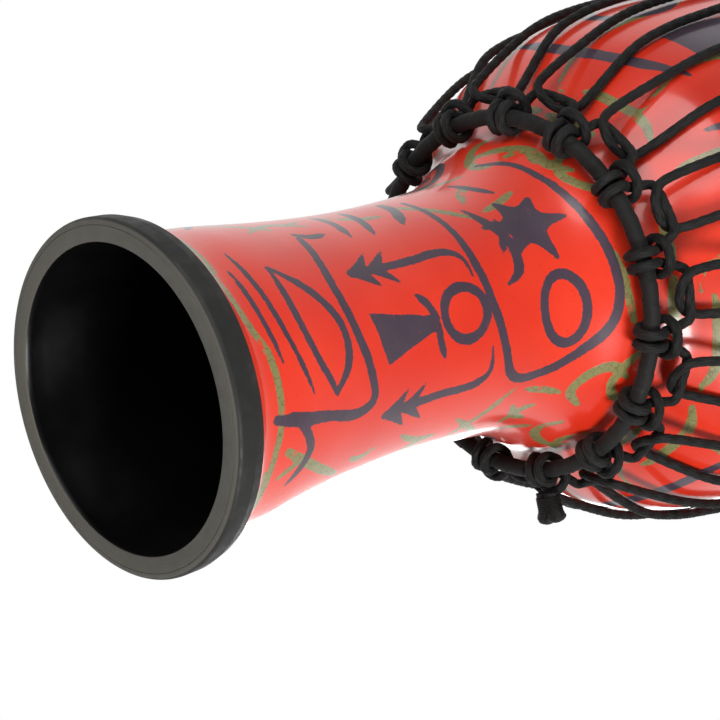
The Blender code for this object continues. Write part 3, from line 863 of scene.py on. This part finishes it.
def build_head(skin):
    """Flat head, rounded edge, a straight collar with faint tension wrinkles, folded round its hoop."""
    centre = (COLLAR_INNER_RADIUS + SKIN + GAP + HOOP_TUBE_RADIUS, HOOP_HEIGHT)
    inner_fold = HOOP_TUBE_RADIUS + GAP
    outer_fold = inner_fold + SKIN
    underside = SHELL_TOP + GAP

    def arc(reach, start, end, steps, middle):
        turns = np.radians(np.linspace(start, end, steps))
        return [(middle[0] + reach * math.cos(t), middle[1] + reach * math.sin(t)) for t in turns]

    corner = (COLLAR_INNER_RADIUS + SKIN - HEAD_EDGE, TOTAL_HEIGHT - HEAD_EDGE)
    rings = [(r, TOTAL_HEIGHT) for r in np.linspace(corner[0], HEAD_CENTRE, 22)[1:]]
    under = [(r, underside) for r in np.linspace(HEAD_CENTRE, corner[0], 22)[:-1]]
    collar_heights = np.linspace(corner[1], HOOP_HEIGHT + 0.001, 10)
    outline = [
        *[(COLLAR_INNER_RADIUS, z) for z in collar_heights[1:]],
        *arc(outer_fold, 180, 380, 18, centre),
        *arc(inner_fold, 380, 180, 18, centre),
        *[(COLLAR_INNER_RADIUS + SKIN, z) for z in collar_heights[:0:-1]],
        *arc(HEAD_EDGE, 0, 90, 8, corner),
        *rings,
        *under,
        *arc(HEAD_EDGE - SKIN, 90, 0, 8, corner),
    ]

    def wrinkled(angle, radius, height):
        low, high = WRINKLE_BAND
        share = np.clip((high - height) / 0.030, 0.0, 1.0) * np.clip((height - low) / 0.008, 0, 1)
        wave = np.sin(45 * angle) + 0.6 * np.sin(73 * angle + 1.3) + 0.5 * np.sin(111 * angle + 0.4)
        return radius + WRINKLE_HEIGHT * share * wave, height

    part = turned(np.array(outline), HEAD_COLUMNS, wrinkled)
    # the outline stops short of the axis: two small discs close the middle
    first = outline.index(rings[-1]) * HEAD_COLUMNS
    top = list(range(first, first + HEAD_COLUMNS))
    part[1][first: first + HEAD_COLUMNS] = [top, [corner + HEAD_COLUMNS for corner in top[::-1]]]
    add_piece("head_skin", [part], [skin], ["drumhead"])


# -------- ropes
# One half of a cow hitch: (distance along the ring and lift off it in rope diameters, and the angle
# round the ring's tube in degrees, 0 facing outward and 90 towards the arches).
HALF_HITCH = (
    (0.64, 0.10, 62.0), (0.64, 0.00, 0.0), (0.64, 0.00, -60.0), (0.66, 0.00, -120.0),
    (0.90, 0.00, -180.0), (1.35, 0.00, -240.0), (1.85, 0.20, -294.0), (0.95, 1.14, -336.0),
)
# The bar of each arch: (legs from the hitch, sag towards the ring in rope diameters).
ARCH_BAR = ((0.86, 0.22), (1.20, 0.02), (1.6, 0.0), (2.0, 0.0), (2.4, 0.0), (2.80, 0.02), (3.14, 0.22))


def hitch_points(ring, flip, azimuth, side):
    points = []
    for along, lift, degrees in HALF_HITCH:
        reach = COIL_REACH + lift * 2.0 * ROPE_RADIUS
        turn = math.radians(degrees)
        place = azimuth + side * along * 2.0 * ROPE_RADIUS / ring[0]
        radius, height = ring[0] + reach * math.cos(turn), ring[1] + flip * reach * math.sin(turn)
        points.append(around(radius, height, place))
    return points


def loop_rope_points(ring, arch, flip, first):
    """Hitch, arch, hitch, arch, all the way round one ring."""
    points = []
    for index in range(HITCHES):
        azimuth = first + index * PITCH
        points += hitch_points(ring, flip, azimuth, -1.0)
        points += hitch_points(ring, flip, azimuth, 1.0)[::-1]
        for legs, sag in ARCH_BAR:
            drop = -flip * sag * 2.0 * ROPE_RADIUS
            points.append(around(arch[0], arch[1] + drop, azimuth + legs * LEG_ANGLE))
    return points


def radius_on(route, height):
    return float(np.interp(height, [z for _, z in route], [r for r, _ in route]))


def taut_route(start, end):
    """The shortest way past the bulging bowl from start to end, as (radius, height) points."""
    reach = ROPE_RADIUS + ROPE_CLEARANCE
    near = 0.004
    points = [start]
    for step in range(1, ROUTE_SAMPLES):
        height = start[1] + (end[1] - start[1]) * step / ROUTE_SAMPLES
        above, below = radius_on(SHELL_LINE, height + near), radius_on(SHELL_LINE, height - near)
        slope = (above - below) / (2 * near)
        points.append((radius_on(SHELL_LINE, height) + reach * math.hypot(1.0, slope), height))
    points.append(end)
    hull = []
    for point in points:
        while len(hull) >= 2:
            (r0, z0), (r1, z1) = hull[-2], hull[-1]
            if (r1 - r0) * (point[1] - z0) > (point[0] - r0) * (z1 - z0):
                break
            hull.pop()
        hull.append(point)
    return hull


def beside(arch, out, up):
    """(radius, height) of a point beside an arch: out from the drum and up along the leaning strands."""
    radius, height, lean = arch
    return (
        radius + out * math.cos(lean) + up * math.sin(lean),
        height - out * math.sin(lean) + up * math.cos(lean),
    )


def turn_under(arch, flip, azimuth):
    """The rope's U-turn through one arch, in front of it on the first leg and behind on the second."""
    steps = ((0.92, 0.30, 1.0), (0.84, -0.30, 1.18), (0.45, -0.76, 1.55), (0.00, -0.90, 2.00),
             (-0.45, -0.76, 2.45), (-0.84, -0.30, 2.82), (-0.92, 0.30, 3.0))
    return [
        around(*beside(arch, out * PASS, flip * up * PASS), azimuth + legs * LEG_ANGLE)
        for out, up, legs in steps
    ]


KNOT_CENTRE = around(*KNOT_SEAT, KNOT_AZIMUTH)


def rope_end(strand_point, side):
    """The end of a strand inside the knot, on the given side of its underside."""
    direction = unit(strand_point - KNOT_CENTRE) + END_SPREAD * side * sideways(KNOT_AZIMUTH)
    return KNOT_CENTRE + unit(direction) * END_DEPTH * KNOT_RADIUS


def towards_knot(azimuth, side, height):
    """Azimuth of an end strand, which slants evenly from its lower arch to its side of the knot."""
    top = azimuth - side * (LEG_ANGLE - 1.25 * ROPE_RADIUS / KNOT_SEAT[0])
    share = (height - LOWER_ARCH[1]) / (KNOT_SEAT[1] - LOWER_ARCH[1])
    return azimuth + (top - azimuth) * share


def strand(heights, route, azimuth, side=0.0):
    """The points of one strand. An end strand has a side of the knot, and slants towards it."""
    points = []
    for z in heights:
        place = towards_knot(azimuth, side, z) if side else azimuth
        points.append(around(radius_on(route, z), z, place))
    return points


def tension_rope_points():
    """Down in front of a lower arch, up behind it, over a crown arch, and so on round the drum."""
    front, back = beside(LOWER_ARCH, PASS, 0.0), beside(LOWER_ARCH, -PASS, 0.0)
    fronts_down = taut_route(front, beside(CROWN_ARCH, -PASS, 0.0))
    backs_up = taut_route(back, beside(CROWN_ARCH, PASS, 0.0))
    first_down, last_up = taut_route(front, KNOT_SEAT), taut_route(back, KNOT_SEAT)
    heights = [height for height, _ in SHELL_OUTLINE if STRAND_BAND[0] < height < STRAND_BAND[1]]
    points = strand(heights[::-1], first_down, KNOT_AZIMUTH + LEG_ANGLE, 1.0)
    for step in range(HITCHES - 1):
        azimuth = KNOT_AZIMUTH + step * PITCH
        points += turn_under(LOWER_ARCH, 1.0, azimuth)
        points += strand(heights, backs_up, azimuth + 3.0 * LEG_ANGLE)
        points += turn_under(CROWN_ARCH, -1.0, azimuth + 2.0 * LEG_ANGLE)
        points += strand(heights[::-1], fronts_down, azimuth + PITCH + LEG_ANGLE)
    azimuth = KNOT_AZIMUTH + (HITCHES - 1) * PITCH
    points += turn_under(LOWER_ARCH, 1.0, azimuth)
    points += strand(heights, last_up, azimuth + 3.0 * LEG_ANGLE, -1.0)
    return [rope_end(points[0], 1.0), *points, rope_end(points[-1], -1.0)]


def knot_part(size):
    """A small tight knot: the rope led round itself three times."""
    turns = np.linspace(0.0, math.tau, 90, endpoint=False)
    ring, swing = 0.46 * size, 0.24 * size
    reach = ring + swing * np.cos(3 * turns)
    level, up = reach * np.cos(2 * turns), reach * np.sin(2 * turns)
    out = 1.25 * swing * np.sin(3 * turns)
    axes = np.array([sideways(KNOT_AZIMUTH), around(1.0, 0.0, KNOT_AZIMUTH), (0.0, 0.0, 1.0)])
    line = KNOT_CENTRE + np.stack([level, out, up], 1) @ axes
    line = evenly(np.vstack([line, line[:1]]), ROPE_STEP, True)
    return tube(line, 0.31 * size, ROPE_SIDES, True, braid)


def bound_end(name, node, rope, place, direction, length, width):
    """Two rope ends side by side from a (radius, height, azimuth), whipped together, with sealed tips."""
    start = around(*place)
    across = sideways(place[2])
    third = np.cross(direction, across)
    thick = 0.5 * width - BINDING_RELIEF
    parts = []
    for side in (-1.0, 1.0):
        spread = side * 0.5 * thick
        line = smooth([
            start + across * spread * 0.75,
            start + direction * 0.35 * length + across * spread * 0.80,
            start + direction * 0.75 * length + across * spread * 0.95,
            start + direction * length * (0.97 + 0.03 * side) + across * spread,
        ], 0.5 * ROPE_STEP)
        share = np.linspace(0.0, 1.0, len(line))
        swell = 0.58 * thick * (1.0 + 0.30 * np.clip((share - 0.45) / 0.35, 0, 1))
        tip = np.sqrt(np.clip(1.0 - np.clip((share - 0.80) / 0.20, 0, 1) ** 2, 0.06, 1))
        parts.append(tube(line, swell * tip, 16, False, braid))
    coils = 7
    turns = np.linspace(0.0, math.tau * coils, 26 * coils)
    bound = 0.46  # the share of the length that is whipped
    binding = start + direction * (0.10 + bound * turns / turns[-1])[:, None] * length
    binding = binding + across * (1.04 * thick * np.cos(turns))[:, None]
    binding = binding + third * (0.74 * thick * np.sin(turns))[:, None]
    parts.append(tube(binding, 0.46 * bound * length / coils, 8))
    add_piece(name, parts, [rope], [node])


def build_ropes(rope):
    lower = rope_part(loop_rope_points(LOWER_RING, LOWER_ARCH, 1.0, FRONT), True)
    crown = rope_part(loop_rope_points(CROWN_RING, CROWN_ARCH, -1.0, FRONT + 0.5 * PITCH), True)
    tension = rope_part(tension_rope_points())
    knot = knot_part(KNOT_RADIUS + KNOT_SWELL)
    for name, part, node in (
        ("lower_loop_braid", lower, "lower_loop_rope"),
        ("crown_loop_braid", crown, "crown_loop_rope"),
        ("tension_rope_braid", tension, "tension_rope"),
        ("tension_knot", knot, "tension_rope_knot"),
    ):
        add_piece(name, [part], [rope], [node])

    azimuth = FRONT + STUB_HITCH * PITCH
    place = (STUB_START, LOWER_RING[1], azimuth)
    bound_end("lower_bound_end", "lower_loop_knot", rope, place, around(1.0, 0.0, azimuth), *STUB)
    place = (*CROWN_STUB_START, FRONT + (CROWN_STUB_HITCH + 0.5) * PITCH)
    down = np.array((0.0, 0.0, -1.0))
    bound_end("crown_bound_end", "crown_loop_knot", rope, place, down, *CROWN_STUB)


# -------- stage
def build_surround():
    """White to the camera. It lights the drum brightly from beyond it, dimly from the camera's side."""
    world = bpy.data.worlds.new("studio")
    bpy.context.scene.world = world
    world.use_nodes = True
    n = Nodes(world.node_tree)
    seen = n.tree.nodes["Background"]
    n.feed(seen.inputs["Color"], (1.0, 1.0, 1.0))
    away = -CAMERA_PLACE.normalized()
    facing = n.add("VectorMath", n.coordinates["Generated"], away, operation="DOT_PRODUCT")
    lit = n.add("Background")
    strength = n.step(facing.outputs["Value"], *SURROUND_TURN, DIM_SIDE, BRIGHT_SIDE)
    n.feed(lit.inputs["Strength"], strength)
    to_camera = n.add("LightPath").outputs["Is Camera Ray"]
    n.finish("World Output", n.choose(to_camera, lit.outputs[0], seen.outputs[0]))


def floor_finish():
    """Pale and matt. Far away it turns as white as the surround, and from below it is clear."""
    f = Finish("pale_floor", Roughness=0.9)
    f.colour((0.86, 0.86, 0.85))
    distance = f.add("VectorMath", f.place, operation="LENGTH").outputs["Value"]
    white = f.add("Emission").outputs[0]
    ground = f.choose(f.step(distance, *FLOOR_FADE), f.surface.outputs[0], white)
    below = f.add("NewGeometry").outputs["Backfacing"]
    f.finish("Material Output", f.choose(below, ground, f.add("BsdfTransparent").outputs[0]))
    return f.material


def build_floor():
    """A floor that only shows from above. It lights and shades nothing."""
    corners = [(x * FLOOR_REACH, y * FLOOR_REACH, 0) for x, y in ((-1, -1), (1, -1), (1, 1), (-1, 1))]
    mesh = bpy.data.meshes.new("floor")
    mesh.from_pydata(corners, [], [(0, 1, 2, 3)])
    mesh.materials.append(floor_finish())
    floor = new_object("floor", mesh)
    floor.location = (0.0, 0.0, -FLOOR_DROP)
    for flag in ("visible_diffuse", "visible_glossy", "visible_transmission", "visible_shadow"):
        setattr(floor, flag, False)


def build_stage():
    """The surround, the floor, soft lights and the camera."""
    build_surround()
    build_floor()
    back = CAMERA_PLACE.normalized()
    right = Vector((0.0, 0.0, 1.0)).cross(back).normalized()
    upright = Matrix((right, back.cross(right), back)).transposed().to_4x4()
    turn = Matrix.Rotation(CAMERA_ROLL, 4, "Z") @ Matrix.Rotation(CAMERA_YAW, 4, "Y")
    turn = turn @ Matrix.Rotation(CAMERA_PITCH, 4, "X")
    camera = new_object("camera", bpy.data.cameras.new("camera"))
    camera.data.lens = CAMERA_LENS
    camera.data.sensor_width = 36.0
    camera.data.clip_start = 0.01
    camera.matrix_world = Matrix.Translation(CAMERA_PLACE) @ upright @ turn
    bpy.context.scene.camera = camera

    for name, place, size, power in LIGHTS:
        lamp = bpy.data.lights.new(name, "AREA")
        lamp.shape = "DISK"
        lamp.size = size
        lamp.energy = power
        light = new_object(name, lamp)
        light.location = place
        aim = Vector((0.0, 0.0, AIM_HEIGHT)) - light.location
        light.rotation_euler = aim.to_track_quat("-Z", "Y").to_euler()
    bpy.context.scene.view_settings.view_transform = "Standard"


# -------- the drum
def build():
    rope, cloth, steel = rope_finish(), wrap_finish(), steel_finish()
    inside_black = inside_finish()
    build_shell(lacquer_finish(), inside_black)
    build_boot(rubber_finish(), inside_black)
    wound_ring("lower_ring_cloth", LOWER_RING, 52, 936, 20, cloth, "lower_ring_wrap")
    wound_ring("crown_ring_cloth", CROWN_RING, 88, 1408, 18, cloth, "crown_ring_wrap")
    build_head(head_finish())
    build_ropes(rope)
    for node in ("lower_ring_core", "crown_ring_core", "flesh_hoop"):
        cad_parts[node].data.materials.clear()
        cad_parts[node].data.materials.append(steel)
    build_stage()


build()
